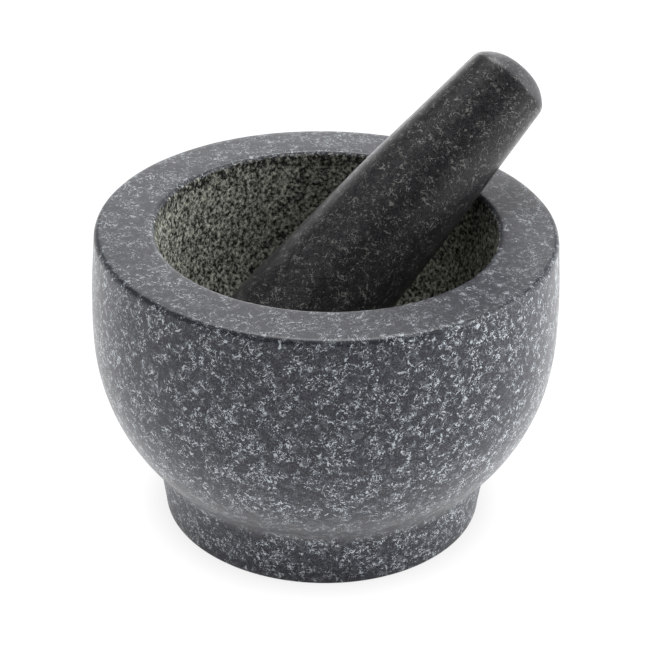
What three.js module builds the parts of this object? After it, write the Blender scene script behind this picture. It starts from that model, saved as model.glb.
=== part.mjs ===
// Stone mortar with a loose pestle leaning in its bowl. Millimetres, +Z up, foot centred on the origin.
import * as THREE from "three";

// ---- mortar: outside ----
const HEIGHT = 102.7;
const FOOT_BASE_RADIUS = 53.6;
const FOOT_CHAMFER = 0.8;
const FOOT_TOP = [55.8, 17.0]; // radius and height where the foot's side ends
const BELLY_START = [57.2, 21.0];
const BELLY_RADIUS = 76.0;
const BELLY_Z = 72.1;
const RIM_RADIUS = 74.5;
const RIM_EDGE_ROUND = 2.1;
// pull points of the curves between those, radius and height
const FILLET_PULLS = [[56.0, 18.8], [56.2, 19.9]];
const BELLY_PULLS = [[76.1, 40.7], [BELLY_RADIUS, 62.4]];
const SHOULDER_PULLS = [[BELLY_RADIUS, 87.1], [74.95, 93.9]];

// ---- mortar: bowl ----
const LIP_ROUND = 2.0;
const MOUTH_RADIUS = 55.0;
const BOWL_DEPTH = 75.2;
const BOWL_FULLNESS = 2.5; // exponent of the bowl's curve: 2 is an ellipse, more is fuller at the corner

// ---- pestle, measured along its own axis from the working tip ----
const PESTLE_LENGTH = 150.0;
const GRIP_DOME = 6.0;
const TIP_HEIGHT = 18.0;
const TIP_FULLNESS = 2.3;
// radius at distances below the grip's edge
const SHAFT = [[0, 14.4], [25, 16.4], [50, 18.5], [75, 20.0], [100, 21.4], [126, 22.3]];

// ---- how the pestle leans ----
const LEAN_FROM_VERTICAL = THREE.MathUtils.degToRad(50.3);
const LEAN_AZIMUTH = THREE.MathUtils.degToRad(33.0); // from +X towards +Y
const GRIP_OUT = 70.2; // distance of the grip's edge centre from the mortar's axis
const GRIP_Z = 137.0;

const MORTAR_SEGMENTS = 80;
const PESTLE_SEGMENTS = 48;

const point = (r, z) => new THREE.Vector2(r, z);

function bezier(a, b, c, d, steps) {
  return new THREE.CubicBezierCurve(point(...a), point(...b), point(...c), point(...d)).getPoints(steps);
}

function arc(centreR, centreZ, radius, from, to, steps) {
  return new THREE.EllipseCurve(centreR, centreZ, radius, radius, from, to).getPoints(steps);
}

// One quarter of |r/a|^n + |z/b|^n = 1, from the widest point to the axis.
function superEllipse(radius, height, fullness, steps) {
  const points = [];
  for (let i = 0; i <= steps; i++) {
    const t = (i / steps) * (Math.PI / 2);
    const r = i === steps ? 0 : radius * Math.cos(t) ** (2 / fullness);
    points.push(point(r, height * Math.sin(t) ** (2 / fullness)));
  }
  return points;
}

function footAndBelly() {
  const widest = [BELLY_RADIUS, BELLY_Z];
  const rimEdge = [RIM_RADIUS, HEIGHT - RIM_EDGE_ROUND];
  return [
    point(0, 0),
    point(FOOT_BASE_RADIUS - FOOT_CHAMFER, 0),
    point(FOOT_BASE_RADIUS, FOOT_CHAMFER),
    ...bezier(FOOT_TOP, ...FILLET_PULLS, BELLY_START, 4),
    ...bezier(BELLY_START, ...BELLY_PULLS, widest, 14).slice(1),
    ...bezier(widest, ...SHOULDER_PULLS, rimEdge, 5).slice(1),
  ];
}

function rim() {
  const edgeR = RIM_RADIUS - RIM_EDGE_ROUND;
  const edgeZ = HEIGHT - RIM_EDGE_ROUND;
  return [
    ...arc(edgeR, edgeZ, RIM_EDGE_ROUND, 0, Math.PI / 2, 4).slice(1),
    ...arc(MOUTH_RADIUS + LIP_ROUND, HEIGHT - LIP_ROUND, LIP_ROUND, Math.PI / 2, Math.PI, 4),
  ];
}

function bowl() {
  const below = HEIGHT - LIP_ROUND;
  return superEllipse(MOUTH_RADIUS, BOWL_DEPTH - LIP_ROUND, BOWL_FULLNESS, 14)
    .slice(1)
    .map((p) => point(p.x, below - p.y));
}

function pestleProfile() {
  const edge = PESTLE_LENGTH - GRIP_DOME;
  const shaft = new THREE.SplineCurve(SHAFT.map(([down, r]) => point(r, edge - down)).reverse()).getPoints(14);
  const tip = superEllipse(shaft[0].x, TIP_HEIGHT, TIP_FULLNESS, 8)
    .map((p) => point(p.x, TIP_HEIGHT - p.y))
    .reverse();
  const dome = [];
  for (let i = 1; i <= 7; i++) {
    const share = 1 - i / 7;
    dome.push(point(SHAFT[0][1] * share, edge + GRIP_DOME * (1 - share ** 3)));
  }
  return [...tip, ...shaft.slice(1), ...dome];
}

function turned(profile, segments) {
  return new THREE.LatheGeometry(profile, segments).rotateX(Math.PI / 2);
}

function stone(color, roughness) {
  return new THREE.MeshStandardMaterial({ color, roughness, metalness: 0 });
}

function makeMortar() {
  const profile = [...footAndBelly(), ...rim(), ...bowl()];
  const mesh = new THREE.Mesh(turned(profile, MORTAR_SEGMENTS), stone(0x4a4d51, 0.55));
  mesh.name = "mortar";
  return mesh;
}

function makePestle() {
  const mesh = new THREE.Mesh(turned(pestleProfile(), PESTLE_SEGMENTS), stone(0x45484c, 0.45));
  mesh.name = "pestle";
  const side = Math.sin(LEAN_FROM_VERTICAL);
  const up = new THREE.Vector3(
    side * Math.cos(LEAN_AZIMUTH), side * Math.sin(LEAN_AZIMUTH), Math.cos(LEAN_FROM_VERTICAL));
  const gripEdge = new THREE.Vector3(
    GRIP_OUT * Math.cos(LEAN_AZIMUTH), GRIP_OUT * Math.sin(LEAN_AZIMUTH), GRIP_Z);
  mesh.quaternion.setFromUnitVectors(new THREE.Vector3(0, 0, 1), up);
  mesh.position.copy(gripEdge).addScaledVector(up, GRIP_DOME - PESTLE_LENGTH);
  return mesh;
}

const molcajete = new THREE.Group();
molcajete.name = "molcajete";
molcajete.add(makeMortar(), makePestle());

export default molcajete;
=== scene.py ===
"""A turned granite mortar with a pecked bowl, and the honed granite pestle that leans in it."""

import math

import bmesh
import bpy
from mathutils import Matrix, Vector, noise
from mathutils.geometry import interpolate_bezier


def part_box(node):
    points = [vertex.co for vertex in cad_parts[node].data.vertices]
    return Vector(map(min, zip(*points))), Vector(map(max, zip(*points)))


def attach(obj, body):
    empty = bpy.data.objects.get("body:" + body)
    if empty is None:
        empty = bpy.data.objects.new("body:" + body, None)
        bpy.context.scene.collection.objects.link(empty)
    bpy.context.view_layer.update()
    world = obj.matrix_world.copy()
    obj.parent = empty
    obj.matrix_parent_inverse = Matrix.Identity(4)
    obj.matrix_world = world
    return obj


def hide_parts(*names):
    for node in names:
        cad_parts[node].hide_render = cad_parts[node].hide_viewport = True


MM = 0.001

# The mortar's outline, in millimetres from its axis and above the floor.
FOOT_BASE_RADIUS = 53.6
FOOT_EDGE = 0.8
FOOT_TOP = (55.8, 17.0)
BELLY_START = (57.2, 21.0)
WIDEST_HEIGHT = 72.1
FILLET_PULLS = ((56.0, 18.8), (56.2, 19.9))
BELLY_PULLS = ((76.1, 40.7), (76.0, 62.4))
SHOULDER_PULLS = ((76.0, 87.1), (74.95, 93.9))
RIM_RADIUS = 74.5
RIM_EDGE = 2.1
LIP_ROUND = 2.0
MOUTH_RADIUS = 55.0
BOWL_DEPTH = 75.2
BOWL_FULLNESS = 2.5

# The pestle's outline, in millimetres along its own axis.
PESTLE_LENGTH = 150.0
GRIP_DOME = 6.0
GRIP_DOME_POWER = 3.0
GRIP_EDGE = 1.2
GRIP_EDGE_PULL = 0.62
TIP_HEIGHT = 18.0
TIP_FULLNESS = 2.3
SHAFT = ((0.0, 14.4), (25.0, 16.4), (50.0, 18.5), (75.0, 20.0), (100.0, 21.4), (126.0, 22.3))
LEAN = math.radians(50.3)
LEAN_TOWARDS = math.radians(33.0)

# How finely each stone is turned, and in millimetres how far apart its rings are and how close two
# points are to be one.
MORTAR_STEPS = 440
PESTLE_STEPS = 170
WALL_RING = 2.6
EDGE_RING = 0.45
FLAT_RING = 2.0
BOWL_RING = 0.74
SHAFT_RING = 2.0
TIP_RING = 1.2
DOME_RING = 0.7
BASE_RING = 18.0
SEAM = 0.0001

# How far below the rim's flat its rubbed finish, and the painted shade over its rounded edge and lip, has
# faded out, and the bowl's pecking is at its fullest, in millimetres.
RUBBED_AND_SHADE_EDGE = 1.7
PECK_FULL = 7.0

# The heights between which a painted sheen, a paler band under the belly, fades in, and out again, in
# millimetres.
PAINTED_SHEEN_IN = (16.0, 21.0)
PAINTED_SHEEN_OUT = (26.0, 40.0)

# Pecked relief in the bowl: the size and depth of its pits and the swell under them, in millimetres,
# and how many times finer its fine grain is, where a pit's side lies and how the three add up.
PECK_SIZE = 1.5
PECK_DEPTH = 0.42
PECK_SWELL = 4.5
PECK_FINE = 1.3
PECK_GRAIN = (0.15, 0.75)
PECK_SHARES = (0.50, 0.20, 0.45)
PECK_LOWER = 0.08

# The slight waviness of hand-finished stone, in millimetres.
WALL_WAVE = 17.0
WALL_WAVE_DEPTH = 0.16

# The camera stands in front of the mortar and looks down at its axis. Its distances are in millimetres.
CAMERA_RISE = math.radians(29.869)
CAMERA_DISTANCE = 655.24
CAMERA_AIM = 65.667
CAMERA_ROLL = math.radians(1.033)
CAMERA_LENS = 110.08
CAMERA_FILM = 36.0
CAMERA_NEAR = 10.0

# The greys of the stones, from their dark ground to their pale fragments.
STONE_IOR = 1.33
WALL_DARK = 0.003
WALL_GROUND = 0.060
WALL_FLECK = 0.435
WALL_TINTS = ((0.92, 0.96, 1.24), (0.94, 1.01, 1.07))
WALL_ROUGHNESS = 0.38
# The rim's rubbed finish, darker and plainer on the flat, and painted shade where it runs over the rounded
# edge and the lip.
WALL_RUBBED_AND_SHADE = 0.010
WALL_RUBBED_AND_SHADE_SHARE = 0.54
# A painted sheen: a paler grey laid on the lower belly, where the floor's reflection lights it.
WALL_PAINTED_SHEEN = 0.14
WALL_PAINTED_SHEEN_SHARE = 0.42
PAINTED_SHEEN_TINT = (1.0, 1.0, 1.0)
BOWL_DARK = 0.018
BOWL_PALE = 0.76
BOWL_TINT = (0.985, 1.0, 0.88)
BOWL_ROUGHNESS = 0.85
PESTLE_DARK = 0.001
PESTLE_GROUND = 0.033
PESTLE_FLECK = 0.14
PESTLE_TINTS = ((1.0, 0.97, 1.10), (1.0, 1.01, 0.94))
PESTLE_ROUGHNESS = 0.36
# A painted highlight: the grip's domed end made lighter where light catches it, with a rougher finish.
PESTLE_CAP_PAINTED_HIGHLIGHT = 0.075
PESTLE_CAP_HIGHLIGHT_SHARE = 0.32
RUBBED_ROUGHNESS = 0.5

# The stone's patterns: the size in millimetres, the detail, the roughness and the twist of each.
MOTTLE = (0.34, 2.0, 0.7, 0.4)
HAZE = (2.2, 4.0, 0.65, 0.6)
CLUSTER = (4.4, 3.0, 0.62, 0.5)
THREAD = (1.9, 2.0, 0.5, 1.2)
BREAK = (1.4, 2.0, 0.5, 0.0)
CHIP = (0.9, 3.0, 0.6, 1.3)
SPOT = (2.3, 4.0, 0.6, 0.4)
GRIT = (1.25, 3.0, 0.68, 0.15)
RAGGED = (1.2, 2.0, 0.5, 0.0)
HONED_GRAIN = (0.5, 3.0, 0.6, 0.0)

# The levels between which each pattern fades in, and what it fades from and to where that isn't 0 to 1.
MOTTLE_LEVELS = (0.40, 0.66)
HAZE_LEVELS = (0.50, 0.68, 0.0, 0.14)
CLUSTER_LEVELS = (0.44, 0.56, 0.08, 1.0)
THREAD_LEVELS = (0.009, 0.030, 1.0, 0.0)
BREAK_LEVELS = (0.44, 0.51)
CHIP_LEVELS = (0.595, 0.645)
SPOT_LEVELS = (0.620, 0.685, 0.0, 0.8)
CRUSHED_LEVELS = (0.54, 0.96)
RAGGED_LEVELS = (0.35, 0.65, 0.35, 1.6)
PECKED_LEVELS = (0.012, 0.09)

# Each stone's fragments: how coarse they are, how many more of them there are, and how long the threads are.
WALL_FRAGMENTS = (1.0, 0.003, 1.2)
PESTLE_FRAGMENTS = (0.75, -0.004, 1.4)

# How far relief makes the bowl's grit paler on its grains and darker in its pits, partly painted shade, how
# far pecking makes it paler away from the lip, leaving painted shade under the lip, and the depths of the
# grain in millimetres.
RELIEF_PALE_PIT_SHADE = 0.22
LIP_PAINTED_SHADE = 0.10
WALL_GRAIN_DEPTH = 0.012
BOWL_GRAIN_DEPTH = 0.9
PESTLE_GRAIN_DEPTH = 0.010

# The table top: its side in metres, how it glows, how it is seen and how little it reflects, and in
# millimetres the ring of painted shadow where its glow dims close to the mortar and how far the foot's
# painted contact shade reaches.
FLOOR_SIZE = 12.0
FLOOR_GLOW = 1.64
FLOOR_PAINTED_SHADOW_GLOW = 0.42
FLOOR_PAINTED_SHADOW_RING = (57.0, 80.0)
FLOOR_SEEN = 0.86
FLOOR_PAINTED_CONTACT_SHADE = 0.60
FLOOR_PAINTED_CONTACT_REACH = 15.0
FLOOR_REFLECTS = 0.03

# The surround's brightness on each side, and the parts of its directions where each side fades.
SKY_GLOW = 0.04
SKY_LEFT = 0.52
SKY_RIGHT = 0.96
SKY_TOP = 0.40
SKY_BEHIND = 0.82
SKY_SIDE_FADE = (0.3, 0.8)
SKY_LOW_FADE = (0.30, 0.45)
SKY_TOP_FADE = (0.70, 0.85)

# The exposure and the firmness of the finished print.
PRINT_EXPOSURE = 0.28
PRINT_GAMMA = 0.90

# The soft boxes: how far away and how large they are and how high they aim, in metres.
LIGHT_DISTANCE = 1.4
LIGHT_SIZE = 0.9
LIGHT_AIM = 0.05

# Each one's name, the way round from the right and the rise it shines from, and its power.
LIGHTS = (
    ("above_behind", 90.0, 65.0, 26.5),
    ("right", 0.0, 35.0, 14.0),
    ("front_left", 225.0, 45.0, 1.7),
    ("low_left", 180.0, 8.0, 1.7),
    ("low_right", 0.0, 8.0, 9.3),
    ("low_behind", 90.0, 12.0, 5.0),
)


# ---------------------------------------------------------------- outlines


def point(radius, height):
    """A point of an outline, in metres, in the plane through the axis."""
    return Vector((radius * MM, 0.0, height * MM))


def curve(start, pulls, end, count=60):
    """A smooth stretch from start to end, drawn towards two pull points."""
    knots = [point(*start), point(*pulls[0]), point(*pulls[1]), point(*end)]
    return interpolate_bezier(*knots, count)


def quarter(centre, radius, first, count=12):
    """A quarter round about centre, turning anticlockwise from the angle first in degrees."""
    turns = [math.radians(first + 90.0 * i / count) for i in range(count + 1)]
    return [
        point(centre[0] + radius * math.cos(a), centre[1] + radius * math.sin(a))
        for a in turns
    ]


def full_curve(radius, top, depth, fullness, count=240):
    """The hollow or rounded end whose squareness is its fullness, from its edge to its middle."""
    made = []
    for i in range(count + 1):
        turn = 0.5 * math.pi * i / count
        out = abs(math.cos(turn)) ** (2.0 / fullness)
        down = abs(math.sin(turn)) ** (2.0 / fullness)
        made.append(point(radius * out, top - depth * down))
    made[-1].x = 0.0
    return made


def rings(points, spacing):
    """The same stretch with its points at even steps of about this spacing in millimetres."""
    lengths = [0.0]
    for before, after in zip(points, points[1:]):
        lengths.append(lengths[-1] + (after - before).length)
    count = max(1, round(lengths[-1] / (spacing * MM)))
    made = []
    place = 0
    for i in range(count + 1):
        want = lengths[-1] * i / count
        while place < len(points) - 2 and lengths[place + 1] < want:
            place += 1
        span = lengths[place + 1] - lengths[place]
        share = (want - lengths[place]) / span if span else 0.0
        made.append(points[place].lerp(points[place + 1], min(1.0, share)))
    return made


def joined(*stretches):
    """One outline from stretches that meet end to end."""
    made = list(stretches[0])
    for stretch in stretches[1:]:
        made += stretch[1:]
    return made


def wall_outline(widest, height):
    """From the middle of the underside, up the foot and the belly, to the inner edge of the rim's flat."""
    rim_shoulder = (RIM_RADIUS, height - RIM_EDGE)
    foot_corner = (FOOT_BASE_RADIUS - FOOT_EDGE, FOOT_EDGE)
    return joined(
        rings([point(0.0, 0.0), point(foot_corner[0], 0.0)], BASE_RING),
        rings(quarter(foot_corner, FOOT_EDGE, -90.0), EDGE_RING),
        rings([point(FOOT_BASE_RADIUS, FOOT_EDGE), point(*FOOT_TOP)], WALL_RING),
        rings(curve(FOOT_TOP, FILLET_PULLS, BELLY_START), EDGE_RING),
        rings(curve(BELLY_START, BELLY_PULLS, (widest, WIDEST_HEIGHT)), WALL_RING),
        rings(curve((widest, WIDEST_HEIGHT), SHOULDER_PULLS, rim_shoulder), WALL_RING),
        rings(quarter((RIM_RADIUS - RIM_EDGE, height - RIM_EDGE), RIM_EDGE, 0.0), EDGE_RING),
        rings([point(RIM_RADIUS - RIM_EDGE, height), point(MOUTH_RADIUS + LIP_ROUND, height)], FLAT_RING),
    )


def bowl_outline(height):
    """From the inner edge of the rim's flat, over the lip, to the middle of the bowl's floor."""
    lip_height = height - LIP_ROUND
    lip = quarter((MOUTH_RADIUS + LIP_ROUND, lip_height), LIP_ROUND, 90.0)
    hollow = full_curve(MOUTH_RADIUS, lip_height, BOWL_DEPTH - LIP_ROUND, BOWL_FULLNESS)
    return joined(rings(lip, EDGE_RING), rings(hollow, BOWL_RING))


def smooth_shaft(count=40):
    """The shaft's taper, an even curve through its known radii, from the tip's edge to the grip's."""
    edge = PESTLE_LENGTH - GRIP_DOME
    knots = [Vector((edge - down, radius)) for down, radius in reversed(SHAFT)]
    slopes = []
    for i in range(len(knots)):
        before = knots[max(0, i - 1)]
        after = knots[min(len(knots) - 1, i + 1)]
        slopes.append((after.y - before.y) / (after.x - before.x))
    made = []
    for i, (start, end) in enumerate(zip(knots, knots[1:])):
        pull = (end.x - start.x) / 3.0
        first = (start.y + slopes[i] * pull, start.x + pull)
        second = (end.y - slopes[i + 1] * pull, end.x - pull)
        stretch = curve((start.y, start.x), (first, second), (end.y, end.x), count)
        made += stretch if not made else stretch[1:]
    return made


def grip_dome(count=80):
    """The slightly domed end of the grip, from its edge to its middle."""
    radius = SHAFT[0][1]
    edge = PESTLE_LENGTH - GRIP_DOME
    shares = [1.0 - i / count for i in range(count + 1)]
    return [point(radius * share, edge + GRIP_DOME * (1.0 - share**GRIP_DOME_POWER)) for share in shares]


def pestle_outline(count=30):
    """From the middle of the pestle's rounded lower end, up its shaft, to the middle of its grip."""
    tip = full_curve(SHAFT[-1][1], TIP_HEIGHT, TIP_HEIGHT, TIP_FULLNESS)
    tip.reverse()
    dome = grip_dome()
    corner = dome[0]
    side = [p for p in smooth_shaft() if (p - corner).length > GRIP_EDGE * MM]
    end = [p for p in dome if (p - corner).length > GRIP_EDGE * MM]
    pulls = (side[-1].lerp(corner, GRIP_EDGE_PULL), end[0].lerp(corner, GRIP_EDGE_PULL))
    edge = interpolate_bezier(side[-1], pulls[0], pulls[1], end[0], count)
    return joined(
        rings(tip, TIP_RING),
        rings(side, SHAFT_RING),
        rings(edge, EDGE_RING),
        rings(end, DOME_RING),
    )


# ---------------------------------------------------------------- shapes


def turned(outline, steps, **vertex_levels):
    """A closed turned solid from an outline that starts and ends on the axis, with its named levels on its
    points, finishes and painted light alike.
    """
    mesh = bmesh.new()
    for name in vertex_levels:
        mesh.verts.layers.float.new(name)
    points = [mesh.verts.new(p) for p in outline]
    for name, shares in vertex_levels.items():
        layer = mesh.verts.layers.float[name]
        for vertex, share in zip(points, shares):
            vertex[layer] = share
    edges = [mesh.edges.new(pair) for pair in zip(points, points[1:])]
    bmesh.ops.spin(
        mesh,
        geom=points + edges,
        cent=(0.0, 0.0, 0.0),
        axis=(0.0, 0.0, 1.0),
        angle=2.0 * math.pi,
        steps=steps,
        use_merge=True,
    )
    bmesh.ops.remove_doubles(mesh, verts=mesh.verts, dist=SEAM * MM)
    bmesh.ops.recalc_face_normals(mesh, faces=mesh.faces)
    for face in mesh.faces:
        face.smooth = True
    return mesh


def finished(mesh, name, material):
    """The bmesh as an object of this name and material, at the origin."""
    data = bpy.data.meshes.new(name)
    mesh.to_mesh(data)
    mesh.free()
    data.materials.append(material)
    made = bpy.data.objects.new(name, data)
    bpy.context.scene.collection.objects.link(made)
    return made


def eased(value, low, high):
    """0 at low, 1 at high, and smooth between them."""
    share = min(1.0, max(0.0, (value - low) / (high - low)))
    return share * share * (3.0 - 2.0 * share)


def peck_relief(place):
    """How much of the stone the point of the pick left here, from 0 in a pit to 1 on a grain."""
    near = place / (PECK_SIZE * MM)
    nearest = noise.voronoi(near)[0][0]
    grain = 1.0 - eased(nearest, *PECK_GRAIN)
    soft = 0.5 + 0.5 * noise.noise(place / (PECK_SWELL * MM))
    fine = 0.5 + 0.5 * noise.noise(near * PECK_FINE)
    level = sum(share * part for share, part in zip(PECK_SHARES, (grain, soft, fine)))
    return min(1.0, max(0.0, level - PECK_LOWER))


def hand_finish(mesh):
    """Pecks the bowl, and gives the wall the slight waviness of hand-finished stone."""
    mesh.normal_update()
    pecked = mesh.verts.layers.float["pecked"]
    relief = mesh.verts.layers.float.new("relief")
    moves = []
    for vertex in mesh.verts:
        place = vertex.co
        mark = vertex[pecked]
        height = 1.0
        if mark > 0.0:
            height = peck_relief(place)
        vertex[relief] = height
        sink = mark * (1.0 - height) * PECK_DEPTH * MM
        if mark < 1.0 and place.z > FOOT_EDGE * MM:
            wave = 0.5 + 0.5 * noise.noise(place / (WALL_WAVE * MM))
            sink += (1.0 - mark) * wave * WALL_WAVE_DEPTH * MM
        moves.append((vertex, vertex.normal * -sink))
    for vertex, move in moves:
        vertex.co += move


def make_mortar(material):
    """The mortar: foot, belly, flat rim and pecked bowl in one stone."""
    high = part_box("mortar")[1]
    outline = wall_outline(high.x / MM, high.z / MM)
    wall_count = len(outline)
    outline += bowl_outline(high.z / MM)[1:]
    falls = [(high.z - p.z) / MM for p in outline]
    pecked = [0.0] * wall_count + [eased(fall, 0.0, PECK_FULL) for fall in falls[wall_count:]]
    # The rim's rubbed finish on its flat, with painted shade over the rounded edge and the lip.
    rubbed = [1.0 - eased(fall, 0.0, RUBBED_AND_SHADE_EDGE) for fall in falls]
    # A painted sheen on the lower belly, fading in and out between these heights.
    heights = [p.z / MM for p in outline[:wall_count]]
    under = [eased(z, *PAINTED_SHEEN_IN) * (1.0 - eased(z, *PAINTED_SHEEN_OUT)) for z in heights]
    under += [0.0] * (len(outline) - wall_count)
    mesh = turned(outline, MORTAR_STEPS, pecked=pecked, rubbed=rubbed, under=under)
    hand_finish(mesh)
    return finished(mesh, "mortar_stone_turned", material)


def make_pestle(material):
    """The pestle, turned upright, leaned over and set down inside the box of its solid."""
    outline = pestle_outline()
    grip_edge = (PESTLE_LENGTH - GRIP_DOME) * MM
    # The grip's domed end: a painted highlight, and a rougher finish.
    rubbed = [eased(p.z - grip_edge, -GRIP_EDGE * MM, GRIP_EDGE * MM) for p in outline]
    mesh = turned(outline, PESTLE_STEPS, rubbed=rubbed)
    axis = Vector((math.cos(LEAN_TOWARDS), math.sin(LEAN_TOWARDS), 0.0))
    up = axis * math.sin(LEAN) + Vector((0.0, 0.0, math.cos(LEAN)))
    turn = Vector((0.0, 0.0, 1.0)).rotation_difference(up).to_matrix()
    bmesh.ops.rotate(mesh, cent=(0.0, 0.0, 0.0), matrix=turn, verts=mesh.verts)
    low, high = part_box("pestle")
    places = [vertex.co for vertex in mesh.verts]
    middle = Vector([0.5 * (min(p[i] for p in places) + max(p[i] for p in places)) for i in range(3)])
    bmesh.ops.translate(mesh, vec=0.5 * (low + high) - middle, verts=mesh.verts)
    return finished(mesh, "pestle_stone_turned", material)


# ---------------------------------------------------------------- stone


class Recipe:
    """One stone's nodes, all laid out on the piece's own Object coordinates."""

    def __init__(self, name):
        self.material = bpy.data.materials.new(name)
        self.material.use_nodes = True
        tree = self.material.node_tree
        tree.nodes.clear()
        self.nodes = tree.nodes
        self.links = tree.links
        self.place = self.nodes.new("ShaderNodeTexCoord").outputs["Object"]
        self.shader = self.nodes.new("ShaderNodeBsdfPrincipled")
        output = self.nodes.new("ShaderNodeOutputMaterial")
        self.links.new(self.shader.outputs["BSDF"], output.inputs["Surface"])

    def put(self, socket, value):
        """Links a value that is another node's output, or sets a plain one."""
        if isinstance(value, bpy.types.NodeSocket):
            self.links.new(value, socket)
        else:
            socket.default_value = value

    def noise(self, pattern, spread=1.0):
        """Soft noise, 0 to 1, of this pattern with its size spread this many times."""
        size, detail, roughness, twist = pattern
        made = self.nodes.new("ShaderNodeTexNoise")
        made.inputs["Scale"].default_value = 1.0 / (size * spread * MM)
        made.inputs["Detail"].default_value = detail
        made.inputs["Roughness"].default_value = roughness
        made.inputs["Distortion"].default_value = twist
        self.links.new(self.place, made.inputs["Vector"])
        return made.outputs["Fac"]

    def range(self, value, levels, shift=0.0):
        """The value eased between the first two levels, lowered by shift, on to the last two or 0 to 1."""
        low, high, *ends = levels
        bottom, top = ends or (0.0, 1.0)
        made = self.nodes.new("ShaderNodeMapRange")
        made.interpolation_type = "SMOOTHSTEP"
        self.put(made.inputs["Value"], value)
        made.inputs["From Min"].default_value = low - shift
        made.inputs["From Max"].default_value = high - shift
        made.inputs["To Min"].default_value = bottom
        made.inputs["To Max"].default_value = top
        return made.outputs["Result"]

    def sum(self, kind, first, second):
        """The two values put together by a plain sum of this kind, such as MULTIPLY."""
        made = self.nodes.new("ShaderNodeMath")
        made.operation = kind
        self.put(made.inputs[0], first)
        self.put(made.inputs[1], second)
        return made.outputs[0]

    def mix(self, share, first, second):
        """The first colour going over to the second as share goes from 0 to 1."""
        made = self.nodes.new("ShaderNodeMix")
        made.data_type = "RGBA"
        self.put(made.inputs["Factor"], share)
        sockets = [s for s in made.inputs if s.type == "RGBA"]
        self.put(sockets[0], first)
        self.put(sockets[1], second)
        return [s for s in made.outputs if s.type == "RGBA"][0]

    def attribute(self, name):
        """A level kept on the piece's own mesh."""
        made = self.nodes.new("ShaderNodeAttribute")
        made.attribute_name = name
        return made.outputs["Fac"]

    def bump(self, height, depth, normal=None):
        """A relief this many millimetres deep where height is 1."""
        made = self.nodes.new("ShaderNodeBump")
        made.inputs["Strength"].default_value = 1.0
        made.inputs["Distance"].default_value = depth * MM
        self.links.new(height, made.inputs["Height"])
        if normal:
            self.links.new(normal, made.inputs["Normal"])
        return made.outputs["Normal"]


def tinted(level, tint):
    """A stone colour of this lightness."""
    return tuple(level * share for share in tint) + (1.0,)


def fragments(recipe, coarse, more, length):
    """Pale broken threads, chips and soft spots, gathered in loose clusters, 0 to 1."""
    cluster = recipe.range(recipe.noise(CLUSTER, coarse), CLUSTER_LEVELS, more)
    wander = recipe.sum("SUBTRACT", recipe.noise(THREAD, length), 0.5)
    thread = recipe.range(recipe.sum("ABSOLUTE", wander, 0.0), THREAD_LEVELS)
    broken = recipe.range(recipe.noise(BREAK, length), BREAK_LEVELS, more)
    threads = recipe.sum("MULTIPLY", thread, broken)
    chips = recipe.range(recipe.noise(CHIP, coarse), CHIP_LEVELS, more)
    spots = recipe.range(recipe.noise(SPOT, coarse), SPOT_LEVELS)
    fine = recipe.sum("MULTIPLY", recipe.sum("MAXIMUM", threads, chips), cluster)
    return recipe.sum("MAXIMUM", fine, spots)


def honed_colour(recipe, dark, ground, fleck, tints, lie):
    """Dark stone, mottled finely, with its pale fragments lying so coarse, so many and so long."""
    deep_tint, fleck_tint = tints
    mottle = recipe.range(recipe.noise(MOTTLE), MOTTLE_LEVELS)
    base = recipe.mix(mottle, tinted(dark, deep_tint), tinted(ground, deep_tint))
    haze = recipe.range(recipe.noise(HAZE), HAZE_LEVELS)
    base = recipe.mix(haze, base, tinted(fleck, fleck_tint))
    return recipe.mix(fragments(recipe, *lie), base, tinted(fleck, fleck_tint))


def mortar_stone():
    """Honed dark granite outside, pecked rough and paler in the bowl."""
    recipe = Recipe("honed_and_pecked_granite")
    outside = honed_colour(recipe, WALL_DARK, WALL_GROUND, WALL_FLECK, WALL_TINTS, WALL_FRAGMENTS)
    # Rubbed rim, darker, with painted shade over its rounded edge and lip.
    rubbed = recipe.sum("MULTIPLY", recipe.attribute("rubbed"), WALL_RUBBED_AND_SHADE_SHARE)
    outside = recipe.mix(rubbed, outside, tinted(WALL_RUBBED_AND_SHADE, WALL_TINTS[0]))
    # Painted sheen: a paler band under the belly.
    under = recipe.sum("MULTIPLY", recipe.attribute("under"), WALL_PAINTED_SHEEN_SHARE)
    outside = recipe.mix(under, outside, tinted(WALL_PAINTED_SHEEN, PAINTED_SHEEN_TINT))
    pecked = recipe.attribute("pecked")
    relief = recipe.attribute("relief")
    grit = recipe.noise(GRIT)
    # Grit paler on raised grains and darker in the pits, partly painted shade in the pits.
    level = recipe.sum("ADD", grit, recipe.sum("MULTIPLY", relief, RELIEF_PALE_PIT_SHADE))
    # Grit paler further below the lip, leaving painted shade under the lip.
    level = recipe.sum("ADD", level, recipe.sum("MULTIPLY", pecked, LIP_PAINTED_SHADE))
    crushed = recipe.range(level, CRUSHED_LEVELS)
    inside = recipe.mix(crushed, tinted(BOWL_DARK, BOWL_TINT), tinted(BOWL_PALE, BOWL_TINT))
    ragged = recipe.range(recipe.noise(RAGGED), RAGGED_LEVELS)
    edge = recipe.range(recipe.sum("MULTIPLY", pecked, ragged), PECKED_LEVELS)
    recipe.put(recipe.shader.inputs["Base Color"], recipe.mix(edge, outside, inside))
    roughness = recipe.range(edge, (0.0, 1.0, WALL_ROUGHNESS, BOWL_ROUGHNESS))
    recipe.put(recipe.shader.inputs["Roughness"], roughness)
    fine = recipe.bump(recipe.noise(HONED_GRAIN), WALL_GRAIN_DEPTH)
    rough = recipe.bump(recipe.sum("MULTIPLY", grit, edge), BOWL_GRAIN_DEPTH, fine)
    recipe.put(recipe.shader.inputs["Normal"], rough)
    recipe.put(recipe.shader.inputs["IOR"], STONE_IOR)
    return recipe.material


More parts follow.
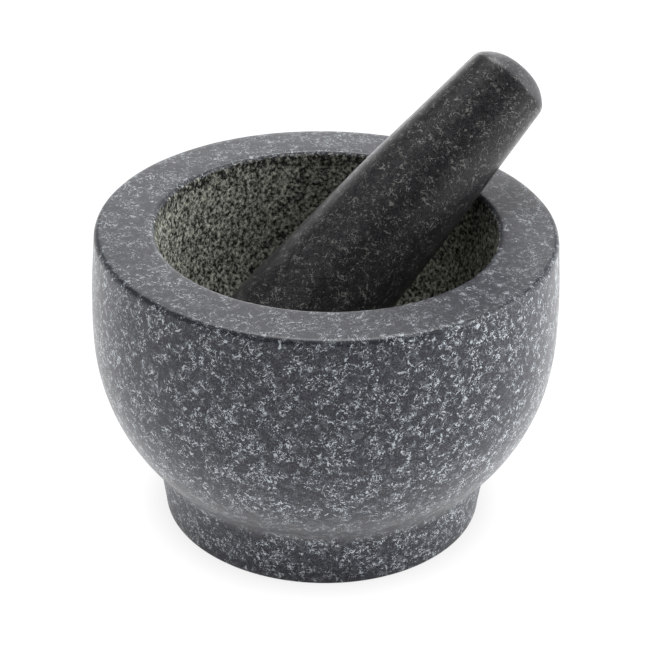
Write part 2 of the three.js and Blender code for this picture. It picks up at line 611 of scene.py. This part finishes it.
def pestle_stone():
    """The same granite honed a little darker and finer."""
    recipe = Recipe("honed_granite")
    colour = honed_colour(recipe, PESTLE_DARK, PESTLE_GROUND, PESTLE_FLECK, PESTLE_TINTS, PESTLE_FRAGMENTS)
    rubbed = recipe.attribute("rubbed")
    # Painted highlight: the grip's domed end made lighter.
    cap_highlight = recipe.sum("MULTIPLY", rubbed, PESTLE_CAP_HIGHLIGHT_SHARE)
    colour = recipe.mix(cap_highlight, colour, tinted(PESTLE_CAP_PAINTED_HIGHLIGHT, PESTLE_TINTS[0]))
    recipe.put(recipe.shader.inputs["Base Color"], colour)
    roughness = recipe.range(rubbed, (0.0, 1.0, PESTLE_ROUGHNESS, RUBBED_ROUGHNESS))
    recipe.put(recipe.shader.inputs["Roughness"], roughness)
    recipe.put(recipe.shader.inputs["IOR"], STONE_IOR)
    recipe.put(recipe.shader.inputs["Normal"], recipe.bump(recipe.noise(HONED_GRAIN), PESTLE_GRAIN_DEPTH))
    return recipe.material


# ---------------------------------------------------------------- studio


def make_camera():
    """A long lens in front of the mortar, looking down at its axis."""
    data = bpy.data.cameras.new("camera")
    data.sensor_width = CAMERA_FILM
    data.lens = CAMERA_LENS
    data.clip_start = CAMERA_NEAR * MM
    made = bpy.data.objects.new("camera", data)
    bpy.context.scene.collection.objects.link(made)
    ahead = Vector((0.0, math.cos(CAMERA_RISE), -math.sin(CAMERA_RISE)))
    upright = Vector((0.0, math.sin(CAMERA_RISE), math.cos(CAMERA_RISE)))
    across = Vector((1.0, 0.0, 0.0))
    right = across * math.cos(CAMERA_ROLL) + upright * math.sin(CAMERA_ROLL)
    up = upright * math.cos(CAMERA_ROLL) - across * math.sin(CAMERA_ROLL)
    place = Vector((0.0, 0.0, CAMERA_AIM * MM)) - ahead * CAMERA_DISTANCE * MM
    made.matrix_world = Matrix.Translation(place) @ Matrix((right, up, -ahead)).transposed().to_4x4()
    bpy.context.scene.camera = made


def make_floor():
    """A table top that glows softly, as a light table does, with a painted shadow dimming its glow close to
    the mortar and a painted contact shade by the foot.
    """
    mesh = bmesh.new()
    bmesh.ops.create_grid(mesh, x_segments=1, y_segments=1, size=0.5 * FLOOR_SIZE)
    material = bpy.data.materials.new("glowing_table")
    material.use_nodes = True
    nodes = material.node_tree.nodes
    links = material.node_tree.links
    shader = nodes["Principled BSDF"]
    shader.inputs["Base Color"].default_value = (FLOOR_REFLECTS, FLOOR_REFLECTS, FLOOR_REFLECTS, 1.0)
    shader.inputs["Roughness"].default_value = 1.0
    shader.inputs["Specular IOR Level"].default_value = 0.0
    shader.inputs["Emission Color"].default_value = (1.0, 1.0, 1.0, 1.0)
    # Painted contact shade: the glow the camera sees dims close to the foot.
    contact = nodes.new("ShaderNodeAmbientOcclusion")
    contact.inputs["Distance"].default_value = FLOOR_PAINTED_CONTACT_REACH * MM
    seen = nodes.new("ShaderNodeMapRange")
    links.new(contact.outputs["AO"], seen.inputs["Value"])
    seen.inputs["To Min"].default_value = FLOOR_PAINTED_CONTACT_SHADE
    seen.inputs["To Max"].default_value = FLOOR_SEEN
    # Painted shadow: the glow that lights the stone dims in a ring close to the mortar.
    away = nodes.new("ShaderNodeVectorMath")
    away.operation = "LENGTH"
    links.new(nodes.new("ShaderNodeTexCoord").outputs["Object"], away.inputs[0])
    lit = nodes.new("ShaderNodeMapRange")
    links.new(away.outputs["Value"], lit.inputs["Value"])
    lit.inputs["From Min"].default_value = FLOOR_PAINTED_SHADOW_RING[0] * MM
    lit.inputs["From Max"].default_value = FLOOR_PAINTED_SHADOW_RING[1] * MM
    lit.inputs["To Min"].default_value = FLOOR_GLOW * FLOOR_PAINTED_SHADOW_GLOW
    lit.inputs["To Max"].default_value = FLOOR_GLOW
    glow = nodes.new("ShaderNodeMapRange")
    links.new(nodes.new("ShaderNodeLightPath").outputs["Is Camera Ray"], glow.inputs["Value"])
    links.new(lit.outputs["Result"], glow.inputs["To Min"])
    links.new(seen.outputs["Result"], glow.inputs["To Max"])
    links.new(glow.outputs["Result"], shader.inputs["Emission Strength"])
    finished(mesh, "table_top", material)


def make_sky():
    """A surround that looks white, and that lights the stone from low on three sides and from the top."""
    world = bpy.data.worlds.new("surround")
    bpy.context.scene.world = world
    world.use_nodes = True
    tree = world.node_tree
    split = tree.nodes.new("ShaderNodeSeparateXYZ")
    tree.links.new(tree.nodes.new("ShaderNodeTexCoord").outputs["Generated"], split.inputs["Vector"])

    def fade(value, ends, first, last):
        made = tree.nodes.new("ShaderNodeMapRange")
        tree.links.new(value, made.inputs["Value"])
        for name, number in zip(("From Min", "From Max", "To Min", "To Max"), (*ends, first, last)):
            made.inputs[name].default_value = number
        return made.outputs["Result"]

    def put_together(kind, first, second):
        made = tree.nodes.new("ShaderNodeMath")
        made.operation = kind
        tree.links.new(first, made.inputs[0])
        tree.links.new(second, made.inputs[1])
        return made.outputs[0]

    near, far = SKY_SIDE_FADE
    left = fade(split.outputs["X"], (-far, -near), SKY_LEFT, 0.0)
    right = fade(split.outputs["X"], (near, far), 0.0, SKY_RIGHT)
    low = fade(split.outputs["Z"], SKY_LOW_FADE, 1.0, 0.0)
    top = fade(split.outputs["Z"], SKY_TOP_FADE, SKY_GLOW, SKY_TOP)
    behind = fade(split.outputs["Y"], (near, far), 0.0, SKY_BEHIND)
    around = put_together("ADD", put_together("ADD", left, right), behind)
    sides = put_together("MULTIPLY", around, low)
    seen = tree.nodes.new("ShaderNodeLightPath").outputs["Is Camera Ray"]
    level = put_together("MAXIMUM", put_together("ADD", sides, top), seen)
    light = tree.nodes["Background"]
    light.inputs["Color"].default_value = (1.0, 1.0, 1.0, 1.0)
    tree.links.new(level, light.inputs["Strength"])


def make_lights():
    """Large soft boxes round the mortar, each turned towards it."""
    aim = Vector((0.0, 0.0, LIGHT_AIM))
    for name, way, rise, power in LIGHTS:
        data = bpy.data.lights.new(name, "AREA")
        data.shape = "SQUARE"
        data.size = LIGHT_SIZE
        data.energy = power
        made = bpy.data.objects.new(name, data)
        bpy.context.scene.collection.objects.link(made)
        out = Vector((LIGHT_DISTANCE, 0.0, 0.0))
        out.rotate(Matrix.Rotation(math.radians(-rise), 3, "Y"))
        out.rotate(Matrix.Rotation(math.radians(way), 3, "Z"))
        turn = (-out).to_track_quat("-Z", "Y").to_matrix().to_4x4()
        made.matrix_world = Matrix.Translation(aim + out) @ turn


def make_print():
    """A plain print of the scene, a little firmer in its darks."""
    view = bpy.context.scene.view_settings
    view.view_transform = "Standard"
    view.exposure = PRINT_EXPOSURE
    view.gamma = PRINT_GAMMA


# ---------------------------------------------------------------- the whole object


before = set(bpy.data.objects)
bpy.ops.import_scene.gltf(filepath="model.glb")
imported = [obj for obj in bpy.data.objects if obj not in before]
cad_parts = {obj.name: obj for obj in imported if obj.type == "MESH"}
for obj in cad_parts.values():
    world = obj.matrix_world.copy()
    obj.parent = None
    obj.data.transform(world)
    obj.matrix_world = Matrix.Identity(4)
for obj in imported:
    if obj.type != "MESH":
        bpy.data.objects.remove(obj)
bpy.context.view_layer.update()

make_camera()
make_floor()
make_sky()
make_lights()
make_print()

mortar = make_mortar(mortar_stone())
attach(mortar, "mortar")
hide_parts("mortar")

pestle = make_pestle(pestle_stone())
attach(pestle, "pestle")
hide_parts("pestle")
